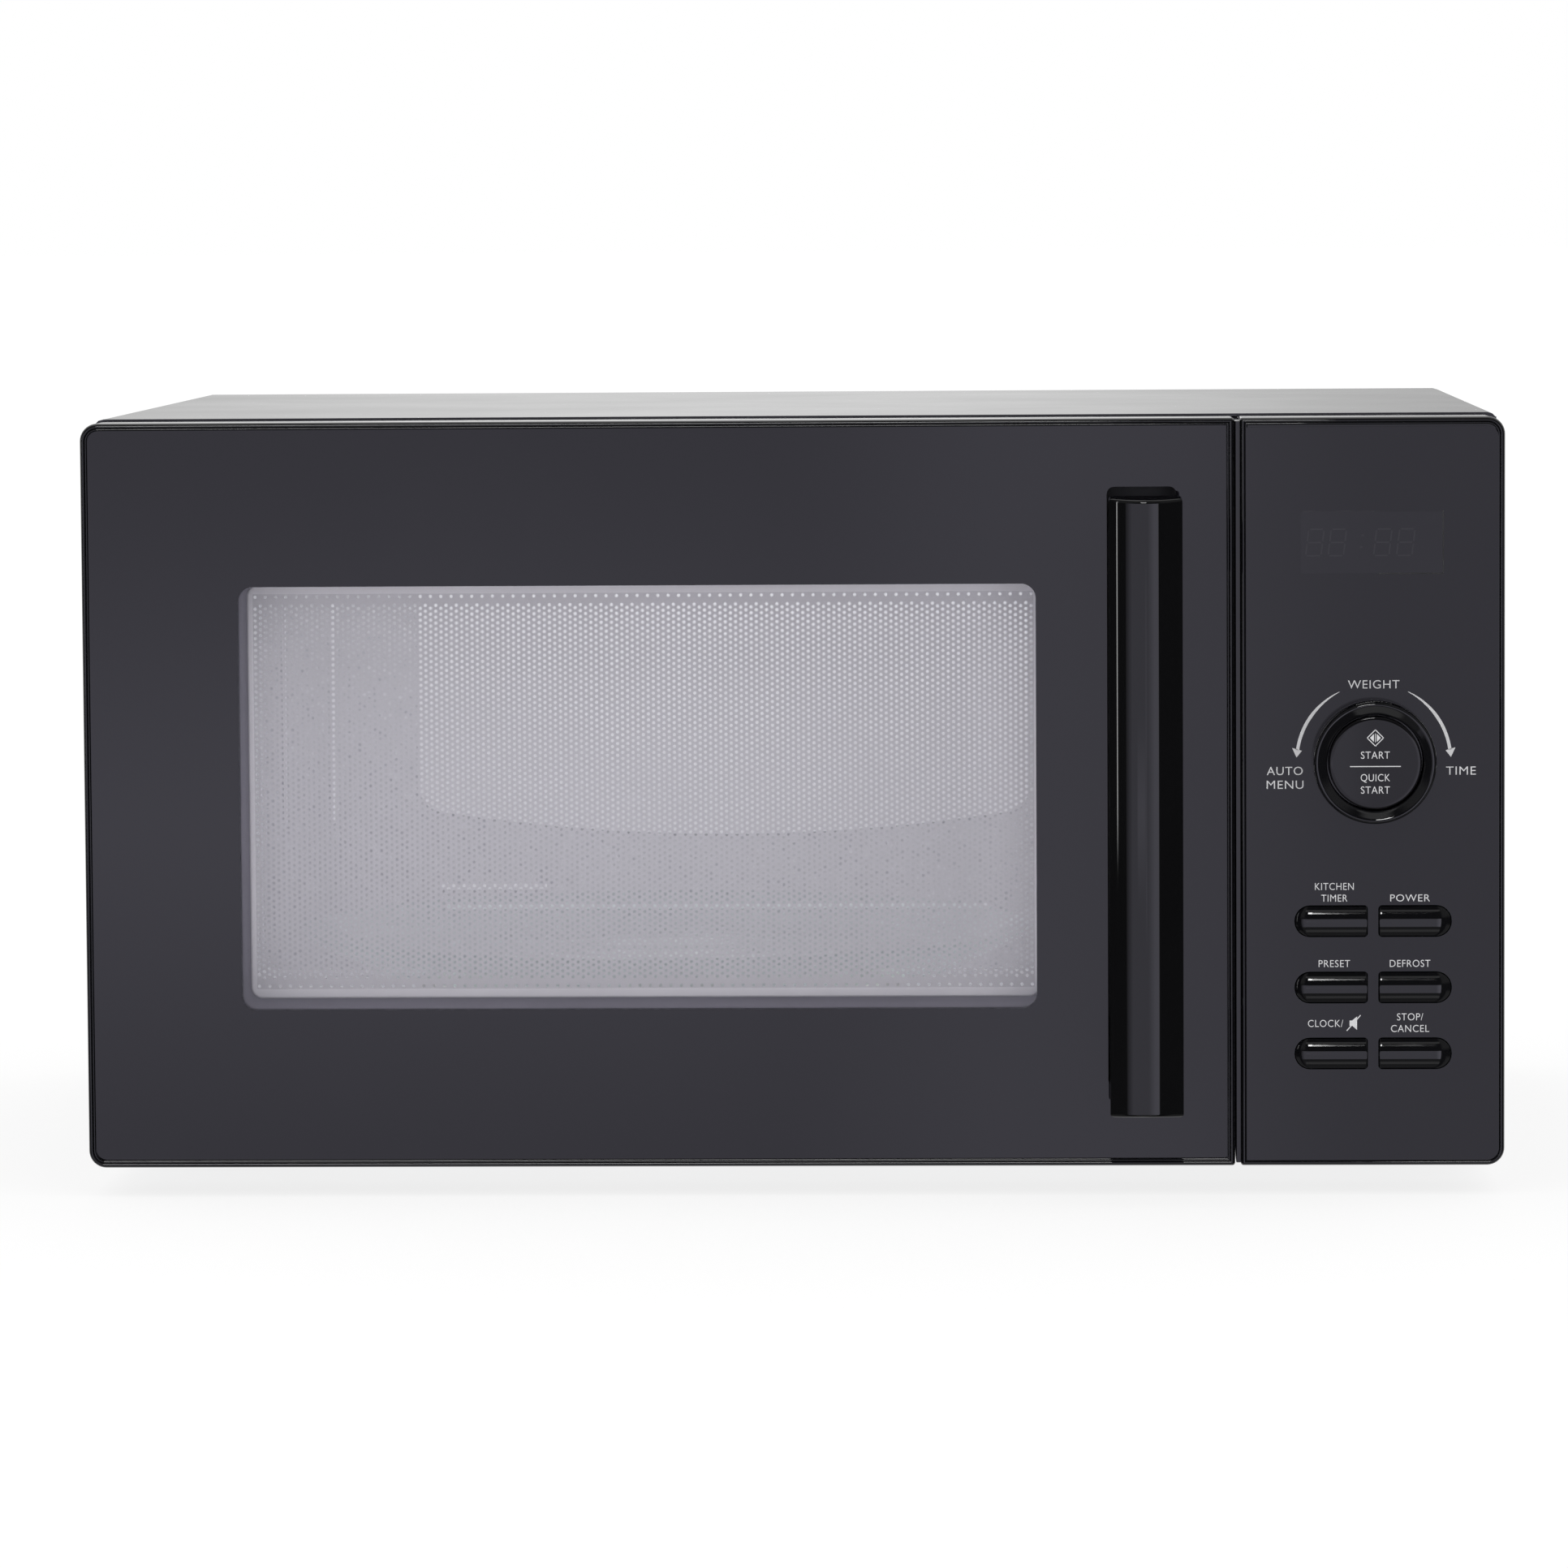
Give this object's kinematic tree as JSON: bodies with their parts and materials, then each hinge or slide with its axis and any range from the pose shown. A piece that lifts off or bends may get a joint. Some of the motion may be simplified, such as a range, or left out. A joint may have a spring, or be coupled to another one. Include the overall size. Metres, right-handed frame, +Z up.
{
  "type": "microwave oven",
  "caption": "Countertop microwave oven with a side-hinged glass door, a vertical bar handle, a turntable, and a control panel with a dial and push buttons.",
  "frame": {"origin": "centre of the oven's footprint, on the surface that the feet stand on", "axes": "+X to the right seen from the front, +Y from the door to the back, +Z up"},
  "size_m": [0.485, 0.42, 0.266],
  "materials": {
    "case": "smooth gloss black powder coat",
    "galvanised": "galvanised sheet",
    "rubber": "matte rubber",
    "matte_black": "fine matte black plastic",
    "enamel": "smooth light grey enamel",
    "mica": "pressed mica sheet",
    "clear_glass": "clear glass",
    "clear_film": "clear film",
    "bright_steel": "bright steel",
    "screen_steel": "light grey coated perforated steel",
    "copper": "varnished winding",
    "board": "circuit board with its parts",
    "white_plastic": "natural white plastic",
    "gloss_black": "high gloss black plastic",
    "face_glass": "glass printed black behind, with a clear window",
    "face_panel": "smooth dark gloss face"
  },
  "bodies": {
    "cabinet": {"outer_cover": "case", "base_plate": "galvanised", "back_panel": "galvanised", "front_plate": "case", "foot_front_left": "rubber", "foot_front_right": "rubber", "foot_rear_left": "rubber", "foot_rear_right": "rubber", "lower_hinge": "galvanised", "upper_hinge": "galvanised", "cord_gland": "matte_black", "oven_cavity": "enamel", "waveguide": "galvanised", "waveguide_cover": "mica", "lamp_housing": "galvanised", "oven_lamp": "clear_glass", "turntable_motor": "galvanised", "magnetron": "bright_steel", "transformer_core": "galvanised", "transformer_coil": "copper", "hv_capacitor": "galvanised", "hv_diode": "matte_black", "fan_shroud": "matte_black", "fan_motor": "galvanised", "filter_board": "board", "latch_board": "white_plastic", "primary_switch": "matte_black", "secondary_switch": "matte_black", "monitor_switch": "matte_black", "panel_frame": "gloss_black", "panel_face": "face_panel", "control_board": "board", "display_module": "matte_black", "dial_encoder": "matte_black"},
    "door": {"door_frame": "gloss_black", "door_glass": "face_glass", "handle_pocket": "matte_black", "door_handle": "gloss_black", "door_screen": "screen_steel", "choke_cover": "matte_black", "door_inner_window": "clear_film", "door_key_spring": "bright_steel"},
    "door_key": {"door_key": "white_plastic"},
    "turntable": {"glass_tray": "clear_glass", "turntable_coupler": "white_plastic"},
    "roller_ring": {"roller_ring": "white_plastic"},
    "roller_wheel_1": {"roller_wheel_1": "white_plastic"},
    "roller_wheel_2": {"roller_wheel_2": "white_plastic"},
    "roller_wheel_3": {"roller_wheel_3": "white_plastic"},
    "dial_ring": {"dial_ring": "gloss_black"},
    "start_button": {"start_button": "gloss_black"},
    "fan_blade": {"fan_blade": "matte_black"},
    "kitchen_timer_button": {"kitchen_timer_button": "gloss_black"},
    "power_button": {"power_button": "gloss_black"},
    "preset_button": {"preset_button": "gloss_black"},
    "defrost_button": {"defrost_button": "gloss_black"},
    "clock_button": {"clock_button": "gloss_black"},
    "stop_button": {"stop_button": "gloss_black"}
  },
  "joints": [
    {"name": "door_hinge", "type": "hinge", "parent": "cabinet", "child": "door", "pos_m": [-0.234, -0.152, 0.135], "axis": [0, 0, -1], "range_deg": [0, 100]},
    {"name": "door_key_slide", "type": "slide", "parent": "door", "child": "door_key", "axis": [0, 0, 1], "range_m": [0, 0.004], "stiffness_N_per_m": 500, "springref_m": -0.002, "deforming": ["door_key_spring"]},
    {"name": "turntable_spin", "type": "hinge", "parent": "cabinet", "child": "turntable", "pos_m": [-0.053, 0.03, 0.0592], "axis": [0, 0, 1], "continuous": true},
    {"name": "roller_ring_spin", "type": "hinge", "parent": "cabinet", "child": "roller_ring", "pos_m": [-0.053, 0.03, 0.0503], "axis": [0, 0, 1], "continuous": true},
    {"name": "roller_wheel_1_roll", "type": "hinge", "parent": "roller_ring", "child": "roller_wheel_1", "pos_m": [-0.053, 0.1245, 0.0503], "axis": [0, 1, 0], "continuous": true},
    {"name": "roller_wheel_2_roll", "type": "hinge", "parent": "roller_ring", "child": "roller_wheel_2", "pos_m": [-0.13484, -0.01725, 0.0503], "axis": [-0.866, -0.5, 0], "continuous": true},
    {"name": "roller_wheel_3_roll", "type": "hinge", "parent": "roller_ring", "child": "roller_wheel_3", "pos_m": [0.02884, -0.01725, 0.0503], "axis": [0.866, -0.5, 0], "continuous": true},
    {"name": "dial_spin", "type": "hinge", "parent": "cabinet", "child": "dial_ring", "pos_m": [0.1979, -0.174, 0.1488], "axis": [0, -1, 0], "continuous": true},
    {"name": "fan_spin", "type": "hinge", "parent": "cabinet", "child": "fan_blade", "pos_m": [0.18, 0.168, 0.175], "axis": [0, 1, 0], "continuous": true},
    {"name": "start_press", "type": "slide", "parent": "cabinet", "child": "start_button", "axis": [0, 1, 0], "range_m": [0, 0.0012], "stiffness_N_per_m": 600},
    {"name": "kitchen_timer_press", "type": "slide", "parent": "cabinet", "child": "kitchen_timer_button", "axis": [0, 1, 0], "range_m": [0, 0.0012], "stiffness_N_per_m": 600},
    {"name": "power_press", "type": "slide", "parent": "cabinet", "child": "power_button", "axis": [0, 1, 0], "range_m": [0, 0.0012], "stiffness_N_per_m": 600},
    {"name": "preset_press", "type": "slide", "parent": "cabinet", "child": "preset_button", "axis": [0, 1, 0], "range_m": [0, 0.0012], "stiffness_N_per_m": 600},
    {"name": "defrost_press", "type": "slide", "parent": "cabinet", "child": "defrost_button", "axis": [0, 1, 0], "range_m": [0, 0.0012], "stiffness_N_per_m": 600},
    {"name": "clock_press", "type": "slide", "parent": "cabinet", "child": "clock_button", "axis": [0, 1, 0], "range_m": [0, 0.0012], "stiffness_N_per_m": 600},
    {"name": "stop_press", "type": "slide", "parent": "cabinet", "child": "stop_button", "axis": [0, 1, 0], "range_m": [0, 0.0012], "stiffness_N_per_m": 600}
  ],
  "couplings": [
    {"joint": "roller_ring_spin", "follows": "turntable_spin", "ratio": 0.5},
    {"joint": "roller_wheel_1_roll", "follows": "turntable_spin", "ratio": -5.25},
    {"joint": "roller_wheel_2_roll", "follows": "turntable_spin", "ratio": -5.25},
    {"joint": "roller_wheel_3_roll", "follows": "turntable_spin", "ratio": -5.25}
  ]
}
